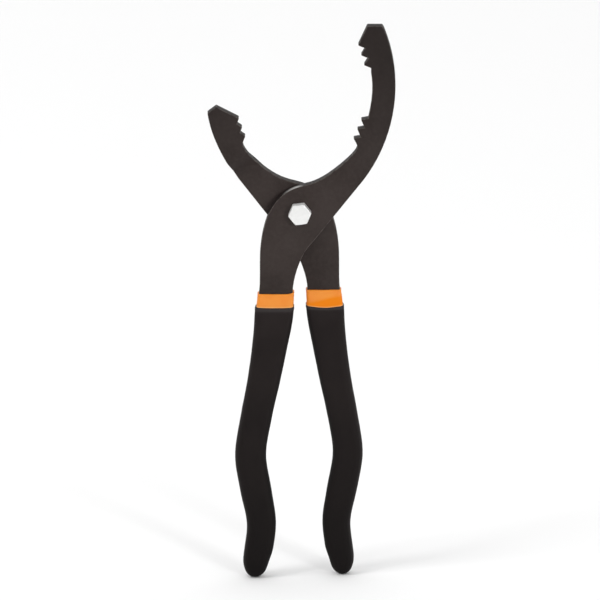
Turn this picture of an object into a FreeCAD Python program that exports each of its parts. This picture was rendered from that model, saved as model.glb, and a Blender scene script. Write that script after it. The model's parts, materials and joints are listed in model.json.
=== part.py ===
"""Pliers-type oil filter wrench.

Two flat steel levers cross at one bolt.  Above the bolt they curve round an oil filter as a long
hook jaw and a short jaw, both with saw teeth; below it they are handles, each dipped twice.

The own frame: +Z runs up the tool, from the handle tips on Z = 0 to the jaws.  +Y runs through the
tool from its front (the bolt head's side) to its back (the nut's side).  X = 0 and Y = 0 are the
middle of the whole outline.  All sizes are in millimetres.

Outlines are drawn from the pivot: x to the right seen from the front, z up.
"""
import FreeCAD, Part

import math
import os

import Sketcher

Vector = FreeCAD.Vector

DIMENSIONS = {
    # whole tool
    "pivot_height": 244.2,       # handle tips to the bolt's axis
    "short_jaw_reach": 58.5,     # bolt's axis to the short jaw's outer corner, sideways
    "long_jaw_reach": 60.6,      # bolt's axis to the long jaw's outer edge, sideways
    "long_jaw_height": 123.8,    # bolt's axis to the long jaw's end
    # levers
    "plate_thickness": 6.0,
    "plate_gap": 0.1,            # the running gap between faces that slide on each other
    "joggle_start": 37.3,        # bolt's axis to where the short jaw starts to bend forward
    "joggle_length": 7.7,
    "joggle_bend_radius": 2.0,   # inside radius of both bends
    "joggle_slant": 18.0,        # degrees that the bend lines rise towards the tool's middle
    # pivot
    "shank_diameter": 8.0,
    "shank_bevel": 0.6,
    "shank_clearance": 0.05,     # radial
    "hexagon_flats": 12.7,       # across flats, head and nut alike
    "hexagon_chamfer": 0.9,      # how far the chamfer runs down the corners
    "head_height": 5.6,
    "washer_diameter": 17.0,
    "washer_thickness": 1.2,
    "washer_bevel": 0.24,
    "nut_hexagon_height": 5.0,
    "nut_crown_height": 1.8,
    "nut_crown_diameter": 11.6,
    "nut_crown_radius": 1.0,     # the crown's rounded upper edge
    "nut_crown_lip": 0.3,        # thickness of the rim that is turned in over the ring
    "ring_diameter": 9.9,
    "ring_height": 1.3,
    "ring_clearance": 0.05,      # all round the ring in its groove
    "ring_cover": 0.5,           # how far the turned-in rim reaches over the ring
    "shank_end": 1.0,            # what stands out of the nut
    # dipped handles
    "front_band_depth": 54.3,    # bolt's axis down to the orange layer's edge, front handle
    "back_band_depth": 53.3,
    "front_grip_depth": 63.4,    # bolt's axis down to the black layer's edge, front handle
    "back_grip_depth": 63.4,
    "inner_layer": 1.0,          # thickness of the orange layer all round the steel
    "outer_layer": 1.3,          # thickness of the black layer on the handle's edges
    "lip_layer": 0.3,            # the same at the black layer's upper lip
    "grip_thickness": 12.0,      # front to back
    "lip_thickness": 8.8,
    "inner_tip_depth": 240.4,    # bolt's axis down to the orange layer's closed end
    "handle_lean": 0.2,          # degrees, both handles, towards the short jaw's side
    "back_slimmer": 0.35,        # the back handle's half width is this much less
}

# The handle's steel, as depth below the bolt's axis, offset of its middle and half width.
# The two handles are mirror images, apart from back_slimmer and handle_lean.
HANDLE = (
    (50.0, 14.9, 10.6),
    (66.0, 16.0, 10.7),
    (83.0, 17.9, 9.3),
    (112.0, 22.5, 8.2),
    (140.0, 27.9, 7.7),
    (163.0, 30.9, 7.6),
    (186.0, 27.5, 7.7),
    (208.0, 23.9, 7.0),
    (226.0, 25.6, 6.8),
    (231.5, 26.9, 6.4),
    (244.2, 27.9, 6.4),
)
STEEL_ARC_DEPTH = 231.5          # below this the steel ends in a half circle
SLICE_STEP = 10.0                # the handle's curves are followed in steps of about this

SHOULDER = ((25.3, -30.0), (22.0, -7.5), (13.8, 8.7), (3.0, 16.2))
NECK = (8.7, -19.1)
CROTCH = ((2.6, -27.4), (-1.4, -37.0))

# Where the black layer has swollen to its full thickness, and where the two layers' tips start.
GRIP_SWELL_DEPTH = 83.0
OUTER_TIP = {"wide": 16.8, "deep": 9.0}
INNER_TIP = {"wide": 12.0, "deep": 4.0}
TIP_ANGLES = (0.0, 20.0, 40.0, 55.0, 67.0, 77.0, 86.0)
TIP_POWER = 2.3                  # 2 would make the tips quarter ellipses; more is blunter
INNER_CORNER = 2.0               # corner radius of the layers' slices, seen from above
LIP_CORNER = 2.4
GRIP_CORNER = 4.9

HEXAGON_TURN = 8.0               # degrees, as the bolt happens to have been tightened
HEXAGON_FACE_SHARE = 0.98        # diameter of a hexagon's flat end over its width across flats

doc = FreeCAD.newDocument("OilFilterWrench")
sheet = doc.addObject("Spreadsheet::Sheet", "Dimensions")


def fill_sheet():
    """Write each driving dimension to the sheet: its name in column A, its value in column B."""
    for row, (name, value) in enumerate(DIMENSIONS.items(), start=1):
        sheet.set(f"A{row}", name)
        sheet.set(f"B{row}", str(value))
        sheet.setAlias(f"B{row}", name)
    doc.recompute()


fill_sheet()


def size(name):
    return float(sheet.get(name))


# ---------------------------------------------------------------- bodies and sketches

def new_body(label):
    """A body whose own origin is the pivot, placed where the pivot lies in the tool's frame."""
    body = doc.addObject("PartDesign::Body", label)
    body.Label = label
    body.setExpression(
        "Placement.Base.x", "(Dimensions.short_jaw_reach - Dimensions.long_jaw_reach) / 2"
    )
    body.setExpression(
        "Placement.Base.y",
        "(Dimensions.head_height - Dimensions.plate_gap - Dimensions.washer_thickness"
        " - Dimensions.nut_hexagon_height - Dimensions.nut_crown_height - Dimensions.shank_end) / 2",
    )
    body.setExpression("Placement.Base.z", "Dimensions.pivot_height")
    return body


def new_sketch(body, name, plane, offset=None, turn=0.0):
    """A sketch on one of the body's own planes, moved along its normal by the offset expression."""
    sketch = body.newObject("Sketcher::SketchObject", name)
    support = [feature for feature in body.Origin.OriginFeatures if feature.Role == plane][0]
    sketch.AttachmentSupport = [(support, "")]
    sketch.MapMode = "FlatFace"
    sketch.AttachmentOffset = FreeCAD.Placement(Vector(), FreeCAD.Rotation(Vector(1, 0, 0), turn))
    if offset:
        sketch.setExpression("AttachmentOffset.Base.z", offset)
    return sketch


def draw(sketch, start, *runs, flip=1):
    """Draw a closed outline.  A run is one point, for a straight line, or a list that starts with
    "arc" (through, end) or "curve" (any number of points).  flip -1 mirrors it left to right."""
    def at(point):
        return Vector(flip * point[0], point[1], 0)

    here = at(start)
    for run in runs:
        if run[0] == "arc":
            through, end = at(run[1]), at(run[2])
            shape = Part.Arc(here, through, end)
        elif run[0] == "curve":
            points = [here] + [at(point) for point in run[1:]]
            end = points[-1]
            shape = Part.BSplineCurve()
            shape.interpolate(points)
        else:
            end = at(run)
            shape = Part.LineSegment(here, end)
        sketch.addGeometry(shape, False)
        here = end
    if here.distanceToPoint(at(start)) > 1e-6:
        sketch.addGeometry(Part.LineSegment(here, at(start)), False)


def rounded(points, radii):
    """Runs for draw() along straight lines whose corners are rounded to the given radii."""
    runs = []
    for index, (corner, radius) in enumerate(zip(points, radii)):
        if not radius:
            runs.append(corner)
            continue
        corner = Vector(*corner, 0)
        back = (Vector(*points[index - 1], 0) - corner).normalize()
        ahead = (Vector(*points[index + 1], 0) - corner).normalize()
        half_angle = back.getAngle(ahead) / 2
        reach = radius / math.tan(half_angle)
        middle = (back + ahead).normalize() * (radius / math.sin(half_angle) - radius)
        first, through, last = corner + back * reach, corner + middle, corner + ahead * reach
        runs.append((first.x, first.y))
        runs.append(("arc", (through.x, through.y), (last.x, last.y)))
    return runs


def pad(body, name, sketch, length, backwards=False):
    feature = body.newObject("PartDesign::Pad", name)
    feature.Profile = sketch
    feature.Reversed = backwards
    feature.setExpression("Length", length)
    doc.recompute()
    return feature


def cut_through(body, name, sketch):
    """A pocket right through the body, both ways from its sketch; it has to remove something."""
    before = body.Shape.Volume
    feature = body.newObject("PartDesign::Pocket", name)
    feature.Profile = sketch
    feature.Type = "ThroughAll"
    feature.Midplane = True
    doc.recompute()
    assert body.Shape.Volume < before, name
    return feature


def turned(body, kind, name, points):
    """A Revolution or Groove about the pivot's axis.  Points are (y, radius)."""
    sketch = new_sketch(body, name + "Profile", "YZ_Plane")
    draw(sketch, *points)
    before = body.Shape.Volume if body.Tip else 0.0
    feature = body.newObject("PartDesign::" + kind, name)
    feature.Profile = sketch
    feature.ReferenceAxis = (sketch, ["H_Axis"])
    feature.Angle = 360
    doc.recompute()
    assert (body.Shape.Volume < before) == (kind == "Groove"), name
    return feature


# ---------------------------------------------------------------- levers

def along_handle(depth, side):
    """The steel's middle, as a distance out from the pivot, and its half width at a depth, on a
    smooth cubic curve through HANDLE's rows.  side is -1 for the front lever's handle."""
    last = len(HANDLE) - 1
    after = next((k for k in range(1, last) if depth <= HANDLE[k][0]), last)
    before = after - 1
    span = HANDLE[after][0] - HANDLE[before][0]
    share = (depth - HANDLE[before][0]) / span
    values = []
    for column in (1, 2):
        slopes = []
        for row in (before, after):
            low, high = max(row - 1, 0), min(row + 1, last)
            rise = HANDLE[high][column] - HANDLE[low][column]
            slopes.append(span * rise / (HANDLE[high][0] - HANDLE[low][0]))
        start, end = HANDLE[before][column], HANDLE[after][column]
        values.append(
            start * (1 + 2 * share) * (1 - share) ** 2
            + end * (3 - 2 * share) * share ** 2
            + slopes[0] * share * (1 - share) ** 2
            - slopes[1] * (1 - share) * share ** 2
        )
    middle, half = values
    lean = (depth - HANDLE[0][0]) * math.tan(math.radians(size("handle_lean")))
    slimmer = size("back_slimmer") if side > 0 else 0.0
    return middle - side * lean, half - slimmer


def handle_depths(above, below):
    """Evenly spaced depths strictly between two depths, about SLICE_STEP apart."""
    count = math.ceil((below - above) / SLICE_STEP)
    return [above + (below - above) * k / count for k in range(1, count)]


def saw_teeth(first_tip, step, root, count, root_first):
    """Points of a row of saw teeth: each tip is one step on, and its root lies beside it."""
    points = []
    for tooth in range(count):
        tip = (first_tip[0] + tooth * step[0], first_tip[1] + tooth * step[1])
        pair = [tip, (tip[0] + root[0], tip[1] + root[1])]
        points += reversed(pair) if root_first else pair
    return points


def handle_edges(side):
    """The steel's two edges down a handle, as lists of points from the top down, drawn for a
    handle on the left."""
    top = HANDLE[0][0]
    depths = [top, *handle_depths(top, STEEL_ARC_DEPTH), STEEL_ARC_DEPTH]
    rows = [(depth, *along_handle(depth, side)) for depth in depths]
    inner = [(-(middle - half), -depth) for depth, middle, half in rows]
    outer = [(-(middle + half), -depth) for depth, middle, half in rows]
    return inner, outer


def draw_lever(sketch, jaw_tip, jaw_outer, jaw_inner, teeth_up, flip):
    """A lever's outline, clockwise from its jaw's end, for a jaw on the right and a handle on the
    left: out and down the jaw, across the neck, round the handle, up the shoulder to the teeth."""
    inner, outer = handle_edges(-flip)
    middle, half = along_handle(STEEL_ARC_DEPTH, -flip)
    end = (-middle, -STEEL_ARC_DEPTH - half)
    slimmer = size("back_slimmer") if flip < 0 else 0.0
    shoulder = [(slimmer - x, z) for x, z in SHOULDER]
    draw(
        sketch,
        jaw_tip[0],
        *jaw_tip[1:],
        ["curve", *jaw_outer],
        NECK,
        ["curve", *CROTCH, *inner],
        ["arc", end, outer[-1]],
        ["curve", *reversed(outer[:-1]), *shoulder, *jaw_inner],
        *teeth_up,
        flip=flip,
    )


def draw_long_jaw_lever(sketch):
    """The front lever: a long hook jaw with two rows of three teeth."""
    height = size("long_jaw_height")
    draw_lever(
        sketch,
        jaw_tip=[(42.7, height), (52.2, height), (53.4, height - 2.1)],
        jaw_outer=[
            (58.0, 106.7), (size("long_jaw_reach"), 84.0), (57.6, 59.0), (48.9, 35.4), (37.3, 17.6),
        ],
        jaw_inner=[(8.0, 19.4), (19.2, 25.7), (29.6, 34.4), (35.2, 40.7), (36.4, 43.5), (36.0, 45.5)],
        teeth_up=[
            *saw_teeth((34.0, 49.3), (2.4, 6.2), (4.6, 0.9), 3, root_first=False),
            ["curve", (44.7, 69.0), (45.9, 82.0), (45.1, 92.8)],
            *saw_teeth((40.6, 97.9), (-1.85, 6.55), (4.6, -2.0), 3, root_first=True),
        ],
        flip=1,
    )


def draw_short_jaw_lever(sketch):
    """The back lever: a short jaw with one row of three teeth.  Drawn mirrored, jaw on the left."""
    draw_lever(
        sketch,
        jaw_tip=[(52.9, 70.2), (size("short_jaw_reach"), 65.9)],
        jaw_outer=[(55.3, 52.6), (49.0, 37.9), (39.1, 21.0)],
        jaw_inner=[(7.7, 19.2), (16.5, 23.3), (25.3, 30.2), (33.0, 39.4), (35.9, 44.8), (36.0, 46.7)],
        teeth_up=saw_teeth((34.5, 50.7), (2.0, 5.95), (3.3, 2.4), 3, root_first=False)[:-1],
        flip=-1,
    )


def pivot_hole(body):
    sketch = new_sketch(body, "PivotHole", "XZ_Plane")
    circle = sketch.addGeometry(Part.Circle(Vector(), Vector(0, 0, 1), 1.0), False)
    sketch.addConstraint(Sketcher.Constraint("Coincident", circle, 3, -1, 1))
    sketch.addConstraint(Sketcher.Constraint("Radius", circle, 1.0))
    sketch.renameConstraint(1, "bore")
    sketch.setExpression(
        "Constraints.bore", "Dimensions.shank_diameter / 2 + Dimensions.shank_clearance"
    )
    cut_through(body, "PivotBore", sketch)


def front_lever():
    body = new_body("front_lever")
    sketch = new_sketch(body, "Outline", "XZ_Plane", "Dimensions.plate_gap / 2")
    draw_long_jaw_lever(sketch)
    pad(body, "Plate", sketch, "Dimensions.plate_thickness")
    pivot_hole(body)
    return body


def back_lever():
    """The back lever lies behind the front one, and its jaw is bent forward into line with it."""
    body = new_body("back_lever")
    sketch = new_sketch(
        body, "Outline", "XZ_Plane", "-(Dimensions.plate_gap / 2 + Dimensions.plate_thickness)"
    )
    draw_short_jaw_lever(sketch)
    pad(body, "Block", sketch, "2 * Dimensions.plate_thickness + Dimensions.plate_gap")
    joggle = new_sketch(body, "JoggleWaste", "YZ_Plane", turn=-size("joggle_slant"))
    draw_joggle_waste(joggle)
    cut_through(body, "Joggle", joggle)
    pivot_hole(body)
    return body


def draw_joggle_waste(sketch):
    """Side view of what is cut off a thick block to leave the bent plate, as (y, distance from
    the bolt's axis): the waste in front of the plate, and the waste behind it."""
    thick = size("plate_thickness")
    near, far = size("plate_gap") / 2, size("plate_gap") / 2 + thick
    start, end = size("joggle_start"), size("joggle_start") + size("joggle_length")
    slope = math.atan2(near + far, size("joggle_length"))
    lag = thick * math.tan(slope / 2)
    inside = size("joggle_bend_radius")
    beyond = 300.0
    front = [(near, -beyond), (near, start), (-far, end), (-far, end + far), (-2 * far, end + far),
             (-2 * far, -beyond)]
    back = [(far, start), (far, start + lag), (-near, end + lag), (-near, beyond),
            (2 * far, beyond), (2 * far, start)]
    draw(sketch, *rounded(front, (0, inside, inside + thick, 0, 0, 0)))
    draw(sketch, *rounded(back, (0, inside + thick, inside, 0, 0, 0)))


# ---------------------------------------------------------------- pivot

def hexagon_sketch(body, name, offset):
    sketch = new_sketch(body, name, "XZ_Plane", offset)
    corner = size("hexagon_flats") / math.sqrt(3)
    turn = math.radians(HEXAGON_TURN)
    corners = [
        (corner * math.cos(turn + k * math.pi / 3), corner * math.sin(turn + k * math.pi / 3))
        for k in range(6)
    ]
    draw(sketch, *corners)
    return sketch


def chamfer_points(face, inwards):
    """The triangle that, turned about the axis, takes the corners off a hexagon's end at y = face.
    It starts just inside the flats and runs hexagon_chamfer deep by the corners."""
    corner = size("hexagon_flats") / math.sqrt(3)
    low = HEXAGON_FACE_SHARE * size("hexagon_flats") / 2
    high = low + 2 * (corner - low)
    return [(face, low), (face + inwards * 2 * size("hexagon_chamfer"), high), (face, high)]


def pivot_bolt():
    """A hexagon-head bolt: head at the front, plain shank through both levers and the nut."""
    body = new_body("pivot_bolt")
    seat = -(size("plate_gap") / 2 + size("plate_thickness"))
    face = seat - size("head_height")
    end = nut_top() + size("shank_end")
    radius = size("shank_diameter") / 2
    bevel = size("shank_bevel")
    sketch = hexagon_sketch(
        body, "HeadOutline", "Dimensions.plate_gap / 2 + Dimensions.plate_thickness"
    )
    pad(body, "Head", sketch, "Dimensions.head_height")
    turned(body, "Groove", "HeadChamfer", chamfer_points(face, 1))
    turned(body, "Revolution", "Shank", [
        (seat, 0), (end, 0), (end, radius - bevel), (end - bevel, radius), (seat, radius),
    ])
    return body


def washer_start():
    """Where the washer's front face lies, a running gap behind the back lever."""
    return 1.5 * size("plate_gap") + size("plate_thickness")


def nut_start():
    return washer_start() + size("washer_thickness")


def shank_hole():
    """Radius of every hole that the shank runs through."""
    return size("shank_diameter") / 2 + size("shank_clearance")


def nut_top():
    return nut_start() + size("nut_hexagon_height") + size("nut_crown_height")


def pivot_washer():
    body = new_body("pivot_washer")
    start, end = washer_start(), nut_start()
    outer = size("washer_diameter") / 2
    bevel = size("washer_bevel")
    turned(body, "Revolution", "Washer", [
        (start, shank_hole()), (end, shank_hole()), (end, outer - bevel), (end - bevel, outer),
        (start, outer),
    ])
    return body


def lock_nut():
    """A hexagon nut whose round crown holds the nylon ring that keeps the pivot's tension."""
    body = new_body("lock_nut")
    start, top = nut_start(), nut_top()
    shoulder = start + size("nut_hexagon_height")
    crown, rounding = size("nut_crown_diameter") / 2, size("nut_crown_radius")
    shallow = rounding * (1 - math.sqrt(0.5))
    groove, groove_top = size("ring_diameter") / 2, top - size("nut_crown_lip")
    lip = groove - size("ring_cover")
    sketch = hexagon_sketch(
        body, "NutOutline",
        "-(1.5 * Dimensions.plate_gap + Dimensions.plate_thickness + Dimensions.washer_thickness)",
    )
    pad(body, "Hexagon", sketch, "Dimensions.nut_hexagon_height", backwards=True)
    turned(body, "Groove", "NutChamfer", chamfer_points(shoulder, -1))
    turned(body, "Revolution", "Crown", [
        (start, 0),
        (top, 0),
        (top, crown - rounding),
        ["arc", (top - shallow, crown - shallow), (top - rounding, crown)],
        (start, crown),
    ])
    turned(body, "Groove", "Bore", [
        (start - size("washer_thickness"), 0),
        (top + size("shank_end"), 0),
        (top + size("shank_end"), lip),
        (groove_top, lip),
        (groove_top, groove),
        (groove_top - size("ring_height"), groove),
        (groove_top - size("ring_height"), shank_hole()),
        (start - size("washer_thickness"), shank_hole()),
    ])
    return body


def nut_ring():
    """The nylon ring, a little smaller than its groove in the nut's crown."""
    body = new_body("nut_ring")
    gap = size("ring_clearance")
    high = nut_top() - size("nut_crown_lip") - gap
    low = high - size("ring_height") + 2 * gap
    outer = size("ring_diameter") / 2 - gap
    turned(body, "Revolution", "Ring", [
        (low, shank_hole()), (high, shank_hole()), (high, outer), (low, outer),
    ])
    return body


# ---------------------------------------------------------------- dipped handles

def draw_section(sketch, centre, half_width, half_depth, corner):
    """A rounded rectangle, seen from above: one slice of a dipped handle."""
    slant = corner * (1 - math.sqrt(0.5))
    right, left = centre[0] + half_width, centre[0] - half_width
    back, front = centre[1] + half_depth, centre[1] - half_depth
    draw(
        sketch,
        (left + corner, front),
        (right - corner, front),
        ["arc", (right - slant, front + slant), (right, front + corner)],
        (right, back - corner),
        ["arc", (right - slant, back - slant), (right - corner, back)],
        (left + corner, back),
        ["arc", (left + slant, back - slant), (left, back - corner)],
        (left, front + corner),
        ["arc", (left + slant, front + slant), (left + corner, front)],
    )


def tip_share(depth, end, length):
    """How much of its full size a layer still has near its rounded end."""
    past = max(0.0, depth - (end - length)) / length
    return max(0.0, 1.0 - past ** TIP_POWER) ** (1 / TIP_POWER)


def dip(label, side, slices, end, tip):
    """One layer as a closed solid: a loft down the handle through the slices (depth, wall beside
    the steel, half thickness, corner) and round its tip.  side is -1 for the front handle."""
    body = new_body(label)
    middle_y = side * (size("plate_gap") + size("plate_thickness")) / 2
    start = end - tip["wide"]
    round_end = [
        (start + tip["wide"] * math.sin(math.radians(angle)), *slices[-1][1:])
        for angle in TIP_ANGLES
    ]
    sketches = []
    for depth, wall, half_depth, corner in slices + round_end:
        middle, half = along_handle(depth, side)
        sketch = new_sketch(body, "Slice", "XY_Plane", f"-{depth:.3f}")
        wide = (half + wall) * tip_share(depth, end, tip["wide"])
        deep_share = tip_share(depth, end, tip["deep"])
        draw_section(
            sketch, (side * middle, middle_y), wide, half_depth * deep_share, corner * deep_share
        )
        sketches.append(sketch)
    loft = body.newObject("PartDesign::AdditiveLoft", "Dip")
    loft.Profile = sketches[0]
    loft.Sections = sketches[1:]
    doc.recompute()
    return body


def inner_dip(label, side, top):
    """The orange layer's outside: an even wall round the steel, down to its closed end."""
    end, wall = size("inner_tip_depth"), size("inner_layer")
    half_depth = size("plate_thickness") / 2 + wall
    depths = [top, *handle_depths(top, end - INNER_TIP["wide"])]
    slices = [(depth, wall, half_depth, INNER_CORNER) for depth in depths]
    return dip(label, side, slices, end, INNER_TIP)


def outer_dip(label, side, top):
    """The black layer's outside: thin at its lip, then swelling to the full grip."""
    end, inner = size("pivot_height"), size("inner_layer")
    lip_wall, full_wall = inner + size("lip_layer"), inner + size("outer_layer")
    lip, full = size("lip_thickness") / 2, size("grip_thickness") / 2
    slices = []
    for depth in [top, *handle_depths(top, end - OUTER_TIP["wide"])]:
        share = min(1.0, (depth - top) / (GRIP_SWELL_DEPTH - top))
        swell = math.sin(share * math.pi / 2)
        wall = lip_wall + swell * (full_wall - lip_wall)
        corner = LIP_CORNER + swell * (GRIP_CORNER - LIP_CORNER)
        slices.append((depth, wall, lip + swell * (full - lip), corner))
    return dip(label, side, slices, end, OUTER_TIP)


def hollowed(label, whole, core):
    """A layer with what it was dipped over taken out of it."""
    shell = doc.addObject("Part::Cut", label)
    shell.Label = label
    shell.Base = whole
    shell.Tool = core
    doc.recompute()
    return shell


def dipped_handle(name, side, lever):
    """Both layers of one handle, over the lever's steel."""
    inner = inner_dip(name + "_inner_dip_outside", side, size(name + "_band_depth"))
    outer = outer_dip(name + "_grip_outside", side, size(name + "_grip_depth"))
    return [
        hollowed(name + "_inner_dip", inner, lever),
        hollowed(name + "_outer_grip", outer, inner),
    ]


# ---------------------------------------------------------------- the tool

def check(part):
    for item in doc.Objects:
        assert not {"Invalid", "Error"} & set(item.State), (item.Label, item.State)
    assert not part.Shape.isNull() and part.Shape.isValid(), part.Label
    assert len(part.Shape.Solids) == 1, (part.Label, len(part.Shape.Solids))


def main():
    front, back = front_lever(), back_lever()
    parts = [front, back, pivot_bolt(), pivot_washer(), lock_nut(), nut_ring()]
    parts += dipped_handle("front", -1, front)
    parts += dipped_handle("back", 1, back)
    doc.recompute()
    for part in parts:
        check(part)
    os.makedirs("parts", exist_ok=True)
    for part in parts:
        part.Shape.exportStep(os.path.join("parts", part.Label + ".step"))
        box = part.Shape.BoundBox
        print(f"{part.Label:16} {part.Shape.Volume / 1000:8.2f} cm3  z {box.ZMin:.1f} to {box.ZMax:.1f}")


main()
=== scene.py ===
"""Looks of the oil filter wrench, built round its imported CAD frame.

The two levers are the CAD levers with their rims rounded.  Bolt, washer, nut and ring are turned
or cut round the pivot's axis.  The four dipped layers are shells skinned over level slices of the
CAD layers.  Everything is in metres, in the CAD's own frame: +Z up the tool, -Y to its front.
"""

import json
import math

import bmesh
import bpy
import numpy as np
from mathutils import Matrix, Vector, noise
from mathutils.bvhtree import BVHTree

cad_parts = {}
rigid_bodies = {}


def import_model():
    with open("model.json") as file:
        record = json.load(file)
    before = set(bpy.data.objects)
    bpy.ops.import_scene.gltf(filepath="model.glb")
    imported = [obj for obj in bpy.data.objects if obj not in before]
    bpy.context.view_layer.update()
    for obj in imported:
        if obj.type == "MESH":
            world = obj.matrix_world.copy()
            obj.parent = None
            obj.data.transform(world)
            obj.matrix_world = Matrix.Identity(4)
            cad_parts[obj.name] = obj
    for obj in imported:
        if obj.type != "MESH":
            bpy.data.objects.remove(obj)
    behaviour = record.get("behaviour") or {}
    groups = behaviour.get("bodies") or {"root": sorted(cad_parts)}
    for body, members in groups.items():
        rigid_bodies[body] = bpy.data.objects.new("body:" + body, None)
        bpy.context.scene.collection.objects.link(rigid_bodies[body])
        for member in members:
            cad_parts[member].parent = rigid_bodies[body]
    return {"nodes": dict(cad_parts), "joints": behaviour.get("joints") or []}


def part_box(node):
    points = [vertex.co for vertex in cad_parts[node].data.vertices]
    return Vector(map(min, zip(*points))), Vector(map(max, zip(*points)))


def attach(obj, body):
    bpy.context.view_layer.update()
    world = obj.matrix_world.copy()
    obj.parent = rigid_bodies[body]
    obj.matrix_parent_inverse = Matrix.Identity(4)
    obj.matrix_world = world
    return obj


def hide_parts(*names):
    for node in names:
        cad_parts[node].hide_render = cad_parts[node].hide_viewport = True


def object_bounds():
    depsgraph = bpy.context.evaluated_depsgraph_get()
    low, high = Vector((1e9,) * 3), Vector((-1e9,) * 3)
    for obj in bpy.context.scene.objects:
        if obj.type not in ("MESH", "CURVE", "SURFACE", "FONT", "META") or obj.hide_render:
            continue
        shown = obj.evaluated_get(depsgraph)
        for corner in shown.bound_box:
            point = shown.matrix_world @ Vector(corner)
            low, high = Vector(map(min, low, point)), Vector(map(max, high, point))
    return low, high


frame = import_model()
cad_low, cad_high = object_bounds()

MM = 0.001
NODES = frame["nodes"]
PIVOT = Vector(frame["joints"][0]["pos_m"])
FRONT_BODY, BACK_BODY = frame["joints"][0]["parent"], frame["joints"][0]["child"]

# camera
VIEW_ELEVATION = 18.0            # degrees above the horizon
VIEW_DISTANCE = 16.0
SENSOR_WIDTH = 36.0              # millimetres, as the camera counts it
CLIP = (0.05, 50.0)              # nearest and furthest distance that the camera sees
VIEW_WIDTH = 0.381               # what the square picture spans at the tool
AIM = Vector((PIVOT.x + 0.13 * MM, PIVOT.y, (cad_low.z + cad_high.z) / 2))

# levers
RIM_ROUNDING = 0.45 * MM
RIM_SEGMENTS = 4
SHARP_TURN = 25.0                # degrees between two faces whose edge is a rim
BORE_REACH = 6 * MM              # nothing this near the pivot's axis is rounded
WELD = 0.002 * MM                # points of the CAD mesh nearer than this become one
FLAT_TURN = 0.3                  # degrees between two faces that are merged into one
LEVER_SHARP = 30                 # degrees past which a lever's edge is shaded sharp
SHOULDER_HIGHLIGHT = Vector((-5.0, -4.8, 15.5)) * MM    # from the pivot: middle of the painted highlight on the shoulder
SHOULDER_HIGHLIGHT_REACH = 8.0 * MM

# dipped layers
RING_POINTS = 96
RING_STEP = 1.25 * MM
HIDDEN_STEP = 4.0 * MM
CAST_FROM = 120 * MM             # rays that find a layer's outline start this far from its middle
SHELL_GAP = 0.02 * MM            # between a layer and what it was dipped over
LIP_STEPS = 6
BAND_FINENESS = 3                # the orange band's rings are this many times closer
TIP_RINGS = 22
TIP_LENGTH = 17 * MM
TIP_SKIN = 0.3 * MM              # the least that a layer covers its core by at the tip
TIP_FADE = 6 * MM                # unevenness dies out over this height towards the tip
POLE_RISE = 0.5 * MM             # a tip's middle is measured this far above the tip
TOP_INSET, BOTTOM_INSET = 0.03 * MM, 0.06 * MM   # slices keep this far from a layer's ends
HIDDEN_MARGIN = 2 * MM           # how far fine rings go on under the next layer
LIP_DROP = {"orange": 0.50 * MM, "black": 0.45 * MM}     # height of the rounding at each lip
EDGE_FADE = 7 * MM               # how far down a layer the waviness of its edge reaches
EDGE_WAVE = 0.16 * MM            # uneven rise and fall of every upper edge
EDGE_WAVES = 1.7                 # how quickly it changes round the handle
EDGE_SLICE = 3.0                 # the two handles cut the noise one below and one above this
LUMPS = ((0.05 * MM, 7 * MM), (0.025 * MM, 2.5 * MM))    # (height, size) of a layer's unevenness
TONGUE_HEIGHT = 1.6 * MM         # where the front handle's orange layer ran up at one side
TONGUE_FROM, TONGUE_TO = 0.62, 0.95      # it rises between these shares of the half width
# how far the black layer's edge rises above its mean at the front, the left and the right
LIP_SAG = {-1: (0.0, 0.9 * MM, 1.5 * MM), 1: (-1.5 * MM, 0.9 * MM, 0.5 * MM)}
BEAD = 0.32 * MM                 # the black layer's rolled upper edge stands proud by this
BEAD_DEPTH = 1.3 * MM
PLAIN = 0.3                      # the black layer's mark where it is neither painted paler nor painted darker
GATHERED = 0.22 * MM             # where the back handle's orange layer ran thick
GATHER_ACROSS, GATHER_DOWN = 0.55, 1.7   # how much that grows to the right and downwards
GATHER_FROM, GATHER_TO = 0.82, 1.25      # their sum at which it starts and is complete

# painted light marks of the dipped layers: painted highlights and painted shade
BEAD_MARK_DEPTH = 1.0 * MM       # middle of the painted highlight on the rolled edge, below the layer's top
BEAD_MARK_REACH = 1.2 * MM
SIDE_FROM, SIDE_TO = 0.62, 0.97  # shares of the half width between which a side's painted highlight or painted shade grows
OUTER_HIGHLIGHT_FROM, OUTER_HIGHLIGHT_TO = 20 * MM, 90 * MM    # depths between which the painted highlight on the outer side grows
# strength of the painted highlight on the outer side
OUTER_HIGHLIGHT = 0.3
RIM_MARK_RISE = 0.1 * MM         # a painted highlight makes the orange paler just above the black layer's edge
RIM_MARK_REACH = 0.5 * MM

# lights
DOME_TOWARDS = (0.0, 0.55, 0.83)     # the surroundings are brightest above and behind the tool
DOME_TURN = (-0.4, 0.9)          # cosines from that direction where dim ends and bright begins
DOME = (0.14, 1.33)              # their strength on the dim side and on the bright side
LAMP_AIM = (0.0, 0.0, 0.20)
KEY_PLACE = (-4.5, -2.1, 5.1)
KEY_SIZE = 2.3
KEY_POWER = 153.0                # watts, as are all the lamps' powers
FRONT_PLACE = (2.0, -3.0, 1.1)
FRONT_SIZE = 0.7
FRONT_POWER = 6.0
FRONT_SPREAD = 60                # degrees
FLOOR_GREY = 0.795
FLOOR_REACH = 12.0
WHITE = (1.0, 1.0, 1.0, 1.0)

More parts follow.
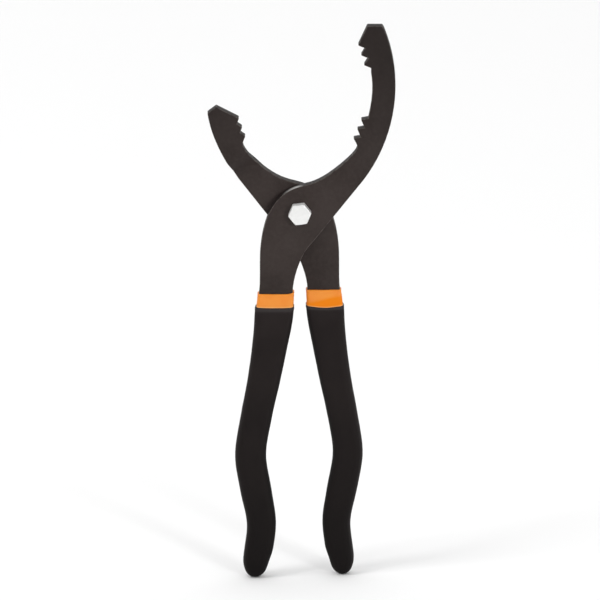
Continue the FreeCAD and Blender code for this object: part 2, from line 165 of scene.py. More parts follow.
# fasteners
TURN_POINTS = 240
CORNER_POWER = 90.0              # how crisp a hexagon's corners are
BLEND = 0.12 * MM                # rounding of the fasteners' edges
FASTENER_SHARP = 38              # degrees past which a fastener's edge is shaded sharp
CHAMFER_START = 0.97             # where a chamfer begins, as a share of half the flats
CHAMFER_SLOPE = math.tan(math.radians(30))
HEAD_MIDDLE = 0.55               # an extra ring on the head's face, as the same share
SHANK_RADIUS = 4.0 * MM
SHANK_BEVEL = 0.75 * MM
SHANK_BEVEL_SLOPE = 0.9
BORE_RADIUS = 4.05 * MM          # of the washer, the nut and the ring
THREAD_PITCH = 1.25 * MM
THREAD_DEPTH = 0.62 * MM
THREAD_FLANK, THREAD_FLAT = 1.18, 0.06   # steepness of its sides and flat of its crest and root
THREAD_START = 1.0 * MM          # it deepens from nothing over this length
THREAD_STEPS = 110
NUT_HEXAGON = 5.0 * MM           # height of the nut's hexagon, below its crown
NUT_MOUTH = 0.5 * MM             # countersink of the nut's bore
CROWN_RADIUS = 5.8 * MM
CROWN_CURL = 1.0 * MM            # the crown's wall turns in over this
CROWN_EDGE = 0.3 * MM
CROWN_DIP = 0.02 * MM            # fall of the crown's top towards its lip
LIP_RADIUS = 4.45 * MM
GROOVE_RADIUS = 4.95 * MM        # the nylon ring sits in this groove
GROOVE_DEPTH = 1.6 * MM
WASHER_ROUNDING = 0.24 * MM
RING_ROUNDING = 0.2 * MM
ROUNDING_STEPS = 4


# ---------------------------------------------------------------- materials

class Nodes:
    """Short ways to wire a material's node tree."""

    def __init__(self, name):
        self.material = bpy.data.materials.new(name)
        self.material.use_nodes = True
        self.tree = self.material.node_tree
        self.shader = self.tree.nodes["Principled BSDF"]
        self.place = self.add("ShaderNodeTexCoord").outputs["Object"]

    def add(self, kind, **settings):
        node = self.tree.nodes.new(kind)
        for key, value in settings.items():
            setattr(node, key, value)
        return node

    def link(self, source, socket):
        self.tree.links.new(source, socket)

    def noise(self, size, detail=2.0, roughness=0.5, stretch=None):
        """Noise whose features are about size metres across, optionally stretched along an axis."""
        texture = self.add("ShaderNodeTexNoise")
        texture.inputs["Scale"].default_value = 1.0 / size
        texture.inputs["Detail"].default_value = detail
        texture.inputs["Roughness"].default_value = roughness
        source = self.place
        if stretch:
            mapping = self.add("ShaderNodeMapping")
            mapping.inputs["Scale"].default_value = stretch
            self.link(source, mapping.inputs["Vector"])
            source = mapping.outputs["Vector"]
        self.link(source, texture.inputs["Vector"])
        return texture.outputs["Fac"]

    def remap(self, source, low, high, to_low=0.0, to_high=1.0):
        """Carry low to high over to another range, and stop at its ends."""
        node = self.add("ShaderNodeMapRange", clamp=True)
        self.link(source, node.inputs["Value"])
        for key, value in (
            ("From Min", low), ("From Max", high), ("To Min", to_low), ("To Max", to_high),
        ):
            node.inputs[key].default_value = value
        return node.outputs["Result"]

    def math(self, operation, first, second):
        """An operation on two values, each a number or a socket."""
        node = self.add("ShaderNodeMath", operation=operation)
        for socket, value in zip(node.inputs, (first, second)):
            if isinstance(value, (int, float)):
                socket.default_value = value
            else:
                self.link(value, socket)
        return node.outputs["Value"]

    def mix(self, share, first, second):
        """A blend of two colours, each a tuple or a socket."""
        node = self.add("ShaderNodeMix", data_type="RGBA")
        self.link(share, node.inputs["Factor"])
        for key, value in (("A", first), ("B", second)):
            socket = next(s for s in node.inputs if s.name == key and s.type == "RGBA")
            if isinstance(value, tuple):
                socket.default_value = (*value, 1.0)
            else:
                self.link(value, socket)
        return next(s for s in node.outputs if s.type == "RGBA")

    def distance_from(self, point, stretch):
        """Distance of the shaded point from a place on the object, each axis stretched."""
        away = self.add("ShaderNodeVectorMath", operation="SUBTRACT")
        self.link(self.place, away.inputs[0])
        away.inputs[1].default_value = point
        scaled = self.add("ShaderNodeVectorMath", operation="MULTIPLY")
        self.link(away.outputs["Vector"], scaled.inputs[0])
        scaled.inputs[1].default_value = stretch
        length = self.add("ShaderNodeVectorMath", operation="LENGTH")
        self.link(scaled.outputs["Vector"], length.inputs[0])
        return length.outputs["Value"]

    def facing(self, axis):
        """The part along axis of the surface's own normal, in the object's frame."""
        coordinates = self.add("ShaderNodeTexCoord")
        parts = self.add("ShaderNodeSeparateXYZ")
        self.link(coordinates.outputs["Normal"], parts.inputs["Vector"])
        return parts.outputs[axis]

    def height(self, low, high):
        """0 at the lower height and 1 at the upper one."""
        parts = self.add("ShaderNodeSeparateXYZ")
        self.link(self.place, parts.inputs["Vector"])
        return self.remap(parts.outputs["Z"], low, high)

    def attribute(self, name):
        """A value stored on the mesh's points."""
        return self.add("ShaderNodeAttribute", attribute_name=name).outputs["Fac"]

    def bump(self, *layers):
        """Bumps from the coarsest to the finest, each (height source, depth in metres)."""
        normal = None
        for height, depth in layers:
            node = self.add("ShaderNodeBump")
            node.inputs["Strength"].default_value = 1.0
            node.inputs["Distance"].default_value = depth
            self.link(height, node.inputs["Height"])
            if normal:
                self.link(normal, node.inputs["Normal"])
            normal = node.outputs["Normal"]
        self.link(normal, self.shader.inputs["Normal"])

    def set(self, **values):
        """Fixed values on the shader's own sockets."""
        for key, value in values.items():
            self.shader.inputs[key.replace("_", " ")].default_value = value


def lever_steel():
    """Matt brown-black phosphate over steel, paler along its rims, partly as edge wear and partly as
    a painted highlight, with painted shade on the plate's side faces and away from the pivot, and a
    painted highlight on the shoulder's up-facing faces."""
    nodes = Nodes("phosphated_steel")
    blotches = nodes.noise(28 * MM, detail=4.0, roughness=0.55)
    mottle = nodes.noise(2.4 * MM, detail=3.0, roughness=0.6)
    grain = nodes.noise(0.32 * MM, detail=2.0)
    dark, pale = (0.0262, 0.0188, 0.0170), (0.0358, 0.0268, 0.0246)
    colour = nodes.mix(nodes.remap(blotches, 0.35, 0.65), dark, pale)
    colour = nodes.mix(nodes.remap(mottle, 0.40, 0.75, 0.0, 0.35), colour, (0.048, 0.038, 0.034))
    # painted shade: the plate darkens away from the pivot, towards the jaw tips and handles
    painted_shade_from_pivot = nodes.remap(nodes.distance_from(PIVOT, (1.0, 1.0, 1.0)), 30 * MM, 120 * MM, 0.0, 0.60)
    colour = nodes.mix(painted_shade_from_pivot, colour, (0.0060, 0.0040, 0.0035))
    # painted shade on the plate's side faces, where the normal turns away from Y
    across_plate = nodes.math("ABSOLUTE", nodes.facing("Y"), 0.0)
    painted_side_shade = nodes.remap(across_plate, 0.85, 0.35, 0.0, 0.6)
    colour = nodes.mix(painted_side_shade, colour, (0.0060, 0.0045, 0.0040))
    # paler rims: partly edge wear, partly a painted highlight
    wear_and_painted_light = nodes.math("MULTIPLY", nodes.attribute("wear_and_painted_light"), nodes.remap(mottle, 0.35, 0.62))
    colour = nodes.mix(nodes.math("MULTIPLY", wear_and_painted_light, 0.55), colour, (0.135, 0.120, 0.108))
    # painted highlight: pale and metallic on the shoulder's up-facing faces
    away = nodes.distance_from(PIVOT + SHOULDER_HIGHLIGHT, (1.0, 2.4, 1.0))
    painted_shoulder_highlight = nodes.remap(away, SHOULDER_HIGHLIGHT_REACH, 0.3 * SHOULDER_HIGHLIGHT_REACH)
    painted_shoulder_highlight = nodes.math("MULTIPLY", painted_shoulder_highlight, nodes.remap(nodes.facing("Z"), 0.60, 1.0, 0.0, 0.6))
    colour = nodes.mix(painted_shoulder_highlight, colour, (0.80, 0.79, 0.77))
    nodes.link(colour, nodes.shader.inputs["Base Color"])
    nodes.link(painted_shoulder_highlight, nodes.shader.inputs["Metallic"])
    rough = nodes.remap(grain, 0.3, 0.7, 0.46, 0.60)
    rough = nodes.math("SUBTRACT", rough, nodes.math("MULTIPLY", wear_and_painted_light, 0.10))
    nodes.link(rough, nodes.shader.inputs["Roughness"])
    nodes.set(Specular_IOR_Level=0.13)
    nodes.bump((blotches, 0.05 * MM), (mottle, 0.02 * MM), (grain, 0.012 * MM))
    return nodes.material


def bright_zinc():
    """Bright zinc plate: nearly white, with a fine grain and a few duller clouds."""
    nodes = Nodes("bright_zinc")
    clouds = nodes.noise(3.5 * MM, detail=3.0, roughness=0.6)
    grain = nodes.noise(0.18 * MM, detail=2.0)
    colour = nodes.mix(nodes.remap(clouds, 0.35, 0.7), (0.79, 0.79, 0.78), (0.73, 0.73, 0.72))
    nodes.link(colour, nodes.shader.inputs["Base Color"])
    nodes.link(nodes.remap(clouds, 0.3, 0.75, 0.36, 0.48), nodes.shader.inputs["Roughness"])
    nodes.set(Metallic=0.35)
    nodes.bump((clouds, 0.012 * MM), (grain, 0.003 * MM))
    return nodes.material


def nylon():
    """Natural nylon, slightly cloudy."""
    nodes = Nodes("nylon")
    clouds = nodes.noise(1.5 * MM, detail=2.0)
    colour = nodes.mix(clouds, (0.70, 0.68, 0.60), (0.80, 0.78, 0.72))
    nodes.link(colour, nodes.shader.inputs["Base Color"])
    nodes.link(nodes.remap(clouds, 0.3, 0.7, 0.35, 0.5), nodes.shader.inputs["Roughness"])
    nodes.bump((clouds, 0.02 * MM))
    return nodes.material


def orange_vinyl():
    """Satin dipped vinyl, its tone varying at random, paler just above the black layer's edge as a
    painted highlight, and deeper where it gathered, partly thick vinyl and partly painted shade.
    """
    nodes = Nodes("orange_vinyl")
    runs = nodes.noise(9 * MM, detail=2.0, roughness=0.5)
    skin = nodes.noise(0.9 * MM, detail=2.0)
    thin, deep = (0.74, 0.240, 0.018), (0.72, 0.210, 0.011)
    colour = nodes.mix(nodes.remap(runs, 0.40, 0.66), thin, deep)
    shade = nodes.attribute("wear_and_painted_light")
    # deeper where the vinyl gathered: partly thick vinyl, partly painted shade
    colour = nodes.mix(nodes.remap(shade, 0.5, 0.0), colour, (0.72, 0.190, 0.000))
    # painted highlight just above the black layer's edge
    colour = nodes.mix(nodes.remap(shade, 0.5, 1.0, 0.0, 0.8), colour, (0.80, 0.40, 0.14))
    nodes.link(colour, nodes.shader.inputs["Base Color"])
    nodes.link(nodes.remap(skin, 0.3, 0.7, 0.38, 0.50), nodes.shader.inputs["Roughness"])
    nodes.link(nodes.remap(shade, 0.0, 0.5, 0.15, 0.45), nodes.shader.inputs["Specular IOR Level"])
    nodes.set(Subsurface_Weight=0.08, Subsurface_Scale=0.6 * MM)
    nodes.bump((runs, 0.10 * MM), (skin, 0.010 * MM))
    return nodes.material


def black_vinyl():
    """Matt dipped vinyl with a fine leathery skin; painted shade darkens it towards the bottom and
    on the inner sides, and painted highlights pale its rolled edge and its outer sides lower down.
    """
    nodes = Nodes("black_vinyl")
    clouds = nodes.noise(22 * MM, detail=3.0)
    skin = nodes.noise(0.8 * MM, detail=3.0, roughness=0.6)
    pores = nodes.noise(0.25 * MM, detail=1.0)
    dark, pale = (0.0112, 0.0080, 0.0078), (0.0152, 0.0112, 0.0108)
    colour = nodes.mix(nodes.remap(clouds, 0.35, 0.65), dark, pale)
    # painted shade: the grips darken towards the bottom
    painted_low_shade = nodes.remap(nodes.height(0.0, PIVOT.z - 60 * MM), 0.0, 1.0, 0.75, 0.0)
    colour = nodes.mix(painted_low_shade, colour, (0.0015, 0.0010, 0.0009))
    shade = nodes.attribute("wear_and_painted_light")
    # painted shade on the handles' inner sides
    colour = nodes.mix(nodes.remap(shade, PLAIN, 0.0, 0.0, 0.75), colour, (0.0012, 0.0010, 0.0010))
    # painted highlights on the rolled edge and the outer sides
    colour = nodes.mix(nodes.remap(shade, PLAIN, 1.0, 0.0, 0.8), colour, (0.034, 0.029, 0.029))
    nodes.link(colour, nodes.shader.inputs["Base Color"])
    cloudy = nodes.remap(clouds, 0.3, 0.7, 0.0, 0.08)
    rough = nodes.math("ADD", cloudy, nodes.remap(skin, 0.3, 0.7, 0.50, 0.60))
    nodes.link(rough, nodes.shader.inputs["Roughness"])
    nodes.set(Specular_IOR_Level=0.10)
    nodes.bump((skin, 0.035 * MM), (pores, 0.012 * MM))
    return nodes.material


# ---------------------------------------------------------------- mesh helpers

def finish_piece(mesh, material, body, slot, *nodes):
    """Make an object of a mesh, shade it, tie it to its body and hide the nodes it stands for."""
    mesh.materials.clear()
    mesh.materials.append(material)
    piece = bpy.data.objects.new(mesh.name, mesh)
    bpy.context.scene.collection.objects.link(piece)
    for polygon in mesh.polygons:
        polygon.use_smooth = True
    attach(piece, body)
    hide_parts(*nodes)


def store_marks(mesh, values):
    """Store the marks that the materials read: edge wear, painted highlights and painted shade."""
    attribute = mesh.attributes.new("wear_and_painted_light", "FLOAT", "POINT")
    attribute.data.foreach_set("value", np.asarray(values, np.float32))


def skin(name, rings, poles=(None, None)):
    """A closed mesh through rings of equally many points.  A pole closes an end with a fan;
    without poles the last ring joins the first one."""
    count = len(rings[0])
    points = [point for ring in rings for point in ring]
    faces = []
    joined = len(rings) if poles == (None, None) else len(rings) - 1
    for row in range(joined):
        here, there = row * count, (row + 1) % len(rings) * count
        for k in range(count):
            after = (k + 1) % count
            faces.append((here + k, here + after, there + after, there + k))
    for pole, row in zip(poles, (0, len(rings) - 1)):
        if pole is None:
            continue
        points.append(pole)
        apex = len(points) - 1
        for k in range(count):
            rim = (row * count + k, row * count + (k + 1) % count)
            faces.append((apex, rim[1], rim[0]) if row == 0 else (apex, *rim))
    mesh = bpy.data.meshes.new(name)
    mesh.from_pydata(points, [], faces)
    mesh.update()
    outward(mesh)
    return mesh


def outward(mesh):
    """Turn every face of a closed mesh outward."""
    work = bmesh.new()
    work.from_mesh(mesh)
    bmesh.ops.recalc_face_normals(work, faces=work.faces)
    if work.calc_volume(signed=True) < 0:
        bmesh.ops.reverse_faces(work, faces=work.faces)
    work.to_mesh(mesh)
    work.free()


def sharpen(mesh, degrees):
    """Keep edges sharp where their faces meet at more than an angle."""
    mesh.set_sharp_from_angle(angle=math.radians(degrees))


# ---------------------------------------------------------------- levers

def rounded_lever(node, body):
    """The CAD lever with its rims rounded, and the middle of each rim marked as paler, partly edge
    wear and partly a painted highlight.
    """
    work = bmesh.new()
    work.from_mesh(NODES[node].data)
    bmesh.ops.remove_doubles(work, verts=work.verts, dist=WELD)
    bmesh.ops.dissolve_limit(
        work, angle_limit=math.radians(FLAT_TURN), verts=work.verts, edges=work.edges
    )
    bore = bore_edges(work)
    rims = [
        edge for edge in work.edges
        if edge.is_manifold and edge not in bore
        and edge.calc_face_angle(0.0) > math.radians(SHARP_TURN)
    ]
    made = bmesh.ops.bevel(
        work, geom=rims, offset=RIM_ROUNDING, offset_type="OFFSET", affect="EDGES",
        segments=RIM_SEGMENTS, profile=0.5, clamp_overlap=False,
    )
    rounding = set(made["faces"])
    pale_rims = [
        1.0 if all(face in rounding for face in vert.link_faces) else 0.0 for vert in work.verts
    ]
    mesh = bpy.data.meshes.new(node + "_rounded")
    work.to_mesh(mesh)
    work.free()
    store_marks(mesh, pale_rims)
    finish_piece(mesh, MATERIALS["lever_steel"], body, "lever_steel", node)
    sharpen(mesh, LEVER_SHARP)


def bore_edges(work):
    """The edges round the pivot's bore, which stays sharp and is out of sight."""
    def near(vert):
        return math.hypot(vert.co.x - PIVOT.x, vert.co.z - PIVOT.z) < BORE_REACH

    return {edge for edge in work.edges if all(near(vert) for vert in edge.verts)}


# ---------------------------------------------------------------- dipped layers

class Outline:
    """What a level slice of a CAD node looks like from outside."""

    def __init__(self, node):
        mesh = NODES[node].data
        self.tree = BVHTree.FromPolygons(
            [vertex.co for vertex in mesh.vertices], [face.vertices for face in mesh.polygons]
        )
        self.low, self.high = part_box(node)

    def reach(self, middle, across):
        """How far the outside lies from the middle, towards the unit vector across."""
        distance = self.tree.ray_cast(middle + across * CAST_FROM, -across)[3]
        return 0.0 if distance is None else CAST_FROM - distance

    def middle(self, z):
        """The slice's middle, its half width and its half depth."""
        start = Vector(((self.low.x + self.high.x) / 2, (self.low.y + self.high.y) / 2, z))
        right, left = self.reach(start, Vector((1, 0, 0))), self.reach(start, Vector((-1, 0, 0)))
        start.x += (right - left) / 2
        back, front = self.reach(start, Vector((0, 1, 0))), self.reach(start, Vector((0, -1, 0)))
        start.y += (back - front) / 2
        return start, (right + left) / 2, (back + front) / 2

    def radii(self, middle, directions):
        """The reach in every direction; a ray that slips between two faces takes its neighbours'."""
        reaches = [self.reach(middle, across) for across in directions]
        beside = [max(reaches[k - 1], reaches[(k + 1) % len(reaches)]) for k in range(len(reaches))]
        return [
            own if 0.8 * near < own < 1.25 * near else near for own, near in zip(reaches, beside)
        ]


TURN_ANGLES = np.arange(RING_POINTS) * 2 * math.pi / RING_POINTS
TURNS = [Vector((math.cos(angle), math.sin(angle), 0)) for angle in TURN_ANGLES]


def around(half_width, half_depth):
    """Directions spread evenly round a slice of these half sizes."""
    return [Vector((turn.x * half_width, turn.y * half_depth, 0)).normalized() for turn in TURNS]


def heights(top, bottom, step):
    """Evenly spaced heights from the top to the bottom, both among them."""
    count = max(1, math.ceil((top - bottom) / step))
    return [top + (bottom - top) * k / count for k in range(count + 1)]


def tip_heights(bottom):
    """Heights round a closed tip, closer and closer together, without the very bottom."""
    return [
        bottom + TIP_LENGTH * (1 - math.sin(math.pi / 2 * k / TIP_RINGS))
        for k in range(1, TIP_RINGS)
    ]


def eased(value, low, high):
    """0 below low, 1 above high, and a smooth step between."""
    share = min(1.0, max(0.0, (value - low) / (high - low)))
    return share * share * (3 - 2 * share)


def waviness(turn, layer, side):
    """How much higher or lower than its mean the layer's upper edge lies.  turn.x runs from -1 at
    the handle's left edge to 1 at its right edge, turn.y from -1 at its front to 1 at its back."""
    place = Vector((turn.x * EDGE_WAVES, turn.y * EDGE_WAVES, EDGE_SLICE + side))
    wave = EDGE_WAVE * noise.noise(place)
    if layer == "black":
        front, left, right = LIP_SAG[side]
        aside = turn.x ** 2
        wave += front * (1 - aside) + (left if turn.x < 0 else right) * aside * aside
    elif side < 0:
        wave += TONGUE_HEIGHT * eased(turn.x, TONGUE_FROM, TONGUE_TO)
    return wave


def swelling(point, turn, depth, layer, side, shown):
    """How much a layer stands proud of its CAD outline at a point, depth below its upper edge.
    shown is how tall the orange band is."""
    proud = sum(height * noise.noise(point / size) for height, size in LUMPS)
    if layer == "black":
        proud += BEAD * math.exp(-((depth - BEAD_DEPTH) / BEAD_DEPTH) ** 2)
    elif side > 0:
        proud += GATHERED * gathering(turn, depth, shown)
    return proud


def gathering(turn, depth, shown):
    """1 where the back handle's orange layer ran thick, towards the lower right, and 0 elsewhere."""
    if turn.y > 0:
        return 0.0
    return eased(GATHER_ACROSS * turn.x + GATHER_DOWN * depth / shown, GATHER_FROM, GATHER_TO)


def painted_light_mark(turn, depth, layer, side, shown):
    """What a layer's material reads as painted light.  On black, PLAIN is neither paler nor darker,
    less is painted shade on the inner side and more a painted highlight on the rolled edge and the
    outer side; on orange 0.5 is plain, more is the painted highlight by the black lip and less is
    partly thick vinyl and partly painted shade."""
    if layer == "black":
        bead_highlight = math.exp(-((depth - BEAD_MARK_DEPTH) / BEAD_MARK_REACH) ** 2)
        outer = eased(turn.x * side, SIDE_FROM, SIDE_TO) * eased(depth, OUTER_HIGHLIGHT_FROM, OUTER_HIGHLIGHT_TO)
        inner_shade = eased(-turn.x * side, SIDE_FROM, SIDE_TO)
        return min(1.0, PLAIN * (1 - inner_shade) + bead_highlight + OUTER_HIGHLIGHT * outer)
    edge = shown - waviness(turn, "black", side)
    rim = math.exp(-((depth - edge + RIM_MARK_RISE) / RIM_MARK_REACH) ** 2)
    thick_and_shaded = gathering(turn, depth, shown) if side > 0 else 0.0
    return 0.5 + 0.5 * rim - 0.5 * thick_and_shaded * (1 - rim)


def dipped_layer(layer, side, body, node, core, covered_from=None):
    """One layer as a closed shell: up the inside from its tip, over its lip and down the outside.
    side is -1 for the front handle.  covered_from is where the next layer hides it."""
    outside, inside = Outline(node), Outline(core)
    top, bottom = outside.high.z, outside.low.z
    inner_bottom = max(inside.low.z, bottom + TIP_SKIN)
    shown = top - covered_from if covered_from else 0.0
    rings, marks = [], []

    def ring(z, share, drop, depth):
        """Points between the core, share 0, and the layer's own outside, share 1."""
        level = max(min(z, top - TOP_INSET), bottom + BOTTOM_INSET)
        middle, half_width, half_depth = outside.middle(level)
        directions = around(half_width, half_depth)
        own = outside.radii(middle, directions)
        kept = inside.radii(middle, directions)
        fade = max(0.0, 1.0 - depth / EDGE_FADE) ** 2
        points, ring_marks = [], []
        for turn, across, wide, narrow in zip(TURNS, directions, own, kept):
            narrow = min(narrow + SHELL_GAP, wide - 2 * SHELL_GAP)
            place = Vector((middle.x, middle.y, level)) + across * wide
            tip_fade = min(1.0, (level - bottom) / TIP_FADE)
            proud = swelling(place, turn, depth, layer, side, shown) * share * tip_fade
            radius = narrow + (wide - narrow) * share + proud
            point = middle + across * radius
            point.z = z - drop + waviness(turn, layer, side) * fade
            points.append(point)
            ring_marks.append(painted_light_mark(turn, depth, layer, side, shown))
        rings.append(points)
        marks.append(ring_marks)

    for z in sorted(heights(top, inner_bottom + HIDDEN_MARGIN, HIDDEN_STEP)):
        ring(z, 0.0, 0.0, top - z)
    drop = LIP_DROP[layer]
    for k in range(1, LIP_STEPS + 1):
        turn = math.pi / 2 * k / LIP_STEPS
        fallen = drop * (1 - math.cos(turn))
        ring(top, math.sin(turn), fallen, fallen)
    below_lip = top - drop
    fine_to = covered_from - HIDDEN_MARGIN if covered_from else bottom + TIP_LENGTH
    step = RING_STEP / BAND_FINENESS if covered_from else RING_STEP
    outer_heights = heights(below_lip, fine_to, step)[1:]
    if covered_from:
        outer_heights += heights(fine_to, bottom + TIP_LENGTH, HIDDEN_STEP)[1:]
    for z in outer_heights + tip_heights(bottom):
        ring(z, 1.0, 0.0, top - z)
    ends = []
    for z in (inner_bottom, bottom):
        middle = outside.middle(z + POLE_RISE)[0]
        ends.append(Vector((middle.x, middle.y, z)))
    mesh = skin(node + "_skin", rings, poles=tuple(ends))
    flat_marks = [value for row in marks for value in row] + [0.0, 0.0]
    store_marks(mesh, flat_marks)
    slot = layer + "_dip"
    finish_piece(mesh, MATERIALS[slot], body, slot, node)


def dipped_handle(name, side, body):
    """The orange layer over the lever, and the black one over the orange."""
    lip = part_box(name + "_outer_grip")[1].z
    dipped_layer("orange", side, body, name + "_inner_dip", name + "_lever", covered_from=lip)
    dipped_layer("black", side, body, name + "_outer_grip", name + "_inner_dip")


# ---------------------------------------------------------------- fasteners

def softened(profile, radius=BLEND, steps=3):
    """A run of (y, radius) points with its inner corners rounded, always as many points longer."""
    points = [Vector(pair) for pair in profile]
    smooth = [points[0]]
    for before, corner, after in zip(points, points[1:], points[2:]):
        back, ahead = before - corner, after - corner
        reach = min(radius, back.length / 2.2, ahead.length / 2.2)
        start = corner + back.normalized() * reach if back.length else corner
        end = corner + ahead.normalized() * reach if ahead.length else corner
        for k in range(steps + 1):
            share = k / steps
            smooth.append(
                start * (1 - share) ** 2 + corner * 2 * share * (1 - share) + end * share ** 2
            )
    smooth.append(points[-1])
    return smooth


def turned(name, profile_at, closed=False):
    """A mesh whose profile, (y, radius) points from front to back, may differ with the angle.
    An open profile starts and ends on the axis; a closed one goes once round a ring's section."""
    columns = []
    for k in range(TURN_POINTS):
        turn = 2 * math.pi * k / TURN_POINTS
        out = Vector((math.cos(turn), 0, math.sin(turn)))
        columns.append([
            Vector((PIVOT.x, y, PIVOT.z)) + out * radius for y, radius in profile_at(turn)
        ])
    rings = [list(ring) for ring in zip(*columns)]
    if closed:
        return skin(name, rings)
    ends = tuple(Vector((PIVOT.x, ring[0].y, PIVOT.z)) for ring in (rings[0], rings[-1]))
    return skin(name, rings[1:-1], poles=ends)


def hexagon(half_flats, turn, first_corner):
    """Distance from the axis to a hexagon's side, its corners a little soft."""
    total = 0.0
    for k in range(3):
        facing = math.cos(turn - first_corner - math.radians(30 + 60 * k))
        total += abs(facing) ** CORNER_POWER
    return half_flats / total ** (1 / CORNER_POWER)


def hexagon_of(node):
    """Half the width across flats of a node's hexagon, and the angle of one of its corners."""
    away = []
    for vertex in NODES[node].data.vertices:
        x, z = vertex.co.x - PIVOT.x, vertex.co.z - PIVOT.z
        away.append((math.hypot(x, z), math.atan2(z, x)))
    corner, angle = max(away)
    return corner * math.cos(math.radians(30)), angle


def chamfered(face, inwards, side, half_flats):
    """The two ends of the chamfer on a hexagon's end face: on the face, and on its side."""
    low = CHAMFER_START * half_flats
    return (face, low), (face + inwards * (side - low) * CHAMFER_SLOPE, side)


def thread(y, turn, start, radius):
    """Radius of a right-hand thread's surface at y."""
    phase = ((y - start) / THREAD_PITCH + turn / (2 * math.pi)) % 1.0
    ridge = abs(2 * phase - 1)
    return radius - THREAD_DEPTH * (1 - max(0.0, min(1.0, THREAD_FLANK * ridge - THREAD_FLAT)))


def finish_fastener(mesh, body, node):
    """A zinc-plated fastener, its edges kept crisp."""
    finish_piece(mesh, MATERIALS["bright_zinc"], body, "bright_zinc", node)
    sharpen(mesh, FASTENER_SHARP)


def hex_bolt(body):
    """The pivot's bolt: chamfered head, plain shank in the levers, thread from the nut on."""
    node = "pivot_bolt"
    low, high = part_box(node)
    half_flats, corner = hexagon_of(node)
    face, end = low.y, high.y
    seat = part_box("front_lever")[0].y
    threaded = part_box("lock_nut")[0].y

    def profile(turn):
        side = hexagon(half_flats, turn, corner)
        on_face, on_side = chamfered(face, 1, side, half_flats)
        head = softened([(face, 0), on_face, on_side, (seat, side), (seat, SHANK_RADIUS)])
        head.insert(1, Vector((face, HEAD_MIDDLE * half_flats)))
        rod = [Vector((threaded, SHANK_RADIUS))]
        for k in range(1, THREAD_STEPS + 1):
            y = threaded + (end - threaded) * k / THREAD_STEPS
            cap = SHANK_RADIUS - max(0.0, y - (end - SHANK_BEVEL)) * SHANK_BEVEL_SLOPE
            fade = min(1.0, (y - threaded) / THREAD_START)
            cut = thread(y, turn, threaded, SHANK_RADIUS)
            rod.append(Vector((y, min(cap, SHANK_RADIUS + (cut - SHANK_RADIUS) * fade))))
        return head + rod + [Vector((end, 0))]

    finish_fastener(turned("hex_bolt", profile), body, node)


def crowned_nut(body):
    """The lock nut: a hexagon, and a crown turned in over the groove of the nylon ring."""
    node = "lock_nut"
    low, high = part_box(node)
    half_flats, corner = hexagon_of(node)
    start, top = low.y, high.y
    shoulder = start + NUT_HEXAGON
    groove_floor = top - GROOVE_DEPTH

    def profile(turn):
        side = hexagon(half_flats, turn, corner)
        front_face, front_side = chamfered(start, 1, side, half_flats)
        back_face, back_side = chamfered(shoulder, -1, side, half_flats)
        section = [
            (start, BORE_RADIUS + NUT_MOUTH), front_face, front_side, back_side, back_face,
            (shoulder, CROWN_RADIUS), (top - CROWN_CURL, CROWN_RADIUS),
            (top - CROWN_EDGE, CROWN_RADIUS - CROWN_EDGE), (top, CROWN_RADIUS - CROWN_CURL),
            (top - CROWN_DIP, LIP_RADIUS), (top - CROWN_EDGE, LIP_RADIUS),
            (top - CROWN_EDGE, GROOVE_RADIUS), (groove_floor, GROOVE_RADIUS),
            (groove_floor, BORE_RADIUS), (start + NUT_MOUTH, BORE_RADIUS),
        ]
        return softened(section + section[:2])[1:-1]

    finish_fastener(turned("crowned_nut", profile, closed=True), body, node)


def round_ring(node, name, slot, body, rounding):
    """A washer or ring with its edges rounded."""
    low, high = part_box(node)
    outer = (high.x - low.x) / 2
    section = [
        (low.y, BORE_RADIUS), (low.y, outer), (high.y, outer), (high.y, BORE_RADIUS),
    ]
    rounded = softened(section + section[:2], rounding, ROUNDING_STEPS)[1:-1]
    mesh = turned(name, lambda turn: rounded, closed=True)
    finish_piece(mesh, MATERIALS[slot], body, slot, node)


# ---------------------------------------------------------------- the scene

def lamp_at(name, place, size, power):
    """A square white lamp that looks at the tool."""
    data = bpy.data.lights.new(name, "AREA")
    data.shape = "RECTANGLE"
    data.size = size
    data.size_y = size
    data.energy = power
    lamp = bpy.data.objects.new(name, data)
    lamp.location = place
    lamp.rotation_euler = (Vector(LAMP_AIM) - Vector(place)).to_track_quat("-Z", "Y").to_euler()
    bpy.context.scene.collection.objects.link(lamp)
    return lamp


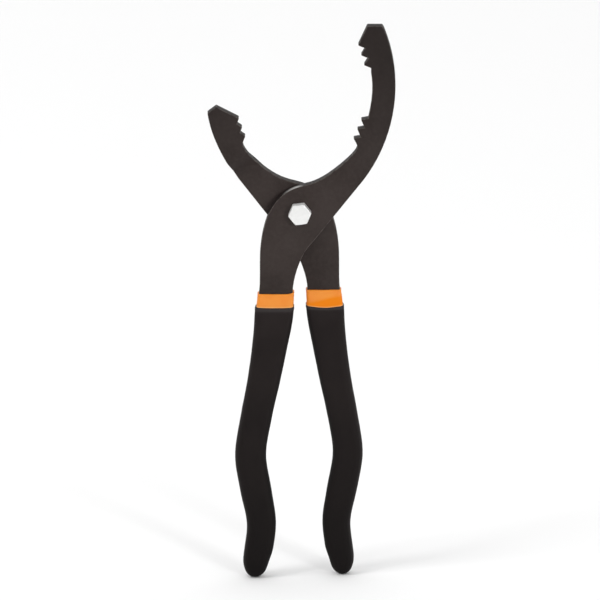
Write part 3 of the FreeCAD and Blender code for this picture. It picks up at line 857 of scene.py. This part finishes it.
def studio():
    """White surroundings, brighter above and behind the tool than in front of it, and two lamps."""
    world = bpy.data.worlds.new("studio")
    world.use_nodes = True
    tree = world.node_tree
    dome = tree.nodes["Background"]
    dome.inputs["Color"].default_value = WHITE
    around_it = tree.nodes.new("ShaderNodeTexCoord")
    towards = tree.nodes.new("ShaderNodeVectorMath")
    towards.operation = "DOT_PRODUCT"
    towards.inputs[1].default_value = DOME_TOWARDS
    ramp = tree.nodes.new("ShaderNodeMapRange")
    tree.links.new(around_it.outputs["Generated"], towards.inputs[0])
    tree.links.new(towards.outputs["Value"], ramp.inputs["Value"])
    for key, value in zip(("From Min", "From Max", "To Min", "To Max"), (*DOME_TURN, *DOME)):
        ramp.inputs[key].default_value = value
    tree.links.new(ramp.outputs["Result"], dome.inputs["Strength"])
    backdrop = tree.nodes.new("ShaderNodeBackground")
    backdrop.inputs["Color"].default_value = WHITE
    seen = tree.nodes.new("ShaderNodeLightPath")
    either = tree.nodes.new("ShaderNodeMixShader")
    tree.links.new(seen.outputs["Is Camera Ray"], either.inputs["Fac"])
    tree.links.new(dome.outputs["Background"], either.inputs[1])
    tree.links.new(backdrop.outputs["Background"], either.inputs[2])
    tree.links.new(either.outputs["Shader"], tree.nodes["World Output"].inputs["Surface"])
    bpy.context.scene.world = world
    bpy.context.scene.view_settings.view_transform = "Standard"
    lamp_at("key", KEY_PLACE, KEY_SIZE, KEY_POWER)
    front = lamp_at("front", FRONT_PLACE, FRONT_SIZE, FRONT_POWER)
    front.data.spread = math.radians(FRONT_SPREAD)


def floor():
    """The plain pale surface that the tool stands on."""
    material = Nodes("floor")
    material.set(Roughness=0.9, Specular_IOR_Level=0.0)
    material.shader.inputs["Base Color"].default_value = (FLOOR_GREY, FLOOR_GREY, FLOOR_GREY, 1.0)
    mesh = bpy.data.meshes.new("floor")
    quarters = ((-1, -1), (1, -1), (1, 1), (-1, 1))
    corners = [(x * FLOOR_REACH, y * FLOOR_REACH, 0) for x, y in quarters]
    mesh.from_pydata(corners, [], [(0, 1, 2, 3)])
    mesh.materials.append(material.material)
    piece = bpy.data.objects.new("floor", mesh)
    piece.location.z = cad_low.z
    bpy.context.scene.collection.objects.link(piece)


def camera():
    """A long lens in front of the tool, a little above it."""
    data = bpy.data.cameras.new("camera")
    data.sensor_width = SENSOR_WIDTH
    data.lens = data.sensor_width * VIEW_DISTANCE / VIEW_WIDTH
    data.clip_start, data.clip_end = CLIP
    eye = bpy.data.objects.new("camera", data)
    tilt = math.radians(VIEW_ELEVATION)
    back = Vector((0.0, -math.cos(tilt), math.sin(tilt)))
    eye.location = AIM + back * VIEW_DISTANCE
    eye.rotation_euler = (-back).to_track_quat("-Z", "Y").to_euler()
    bpy.context.scene.collection.objects.link(eye)
    bpy.context.scene.camera = eye


MATERIALS = {
    "lever_steel": lever_steel(),
    "bright_zinc": bright_zinc(),
    "nylon": nylon(),
    "orange_dip": orange_vinyl(),
    "black_dip": black_vinyl(),
}

rounded_lever("front_lever", FRONT_BODY)
rounded_lever("back_lever", BACK_BODY)
hex_bolt(FRONT_BODY)
crowned_nut(FRONT_BODY)
round_ring("pivot_washer", "washer", "bright_zinc", FRONT_BODY, WASHER_ROUNDING)
round_ring("nut_ring", "nylon_ring", "nylon", FRONT_BODY, RING_ROUNDING)
dipped_handle("front", -1, FRONT_BODY)
dipped_handle("back", 1, BACK_BODY)
camera()
floor()
studio()
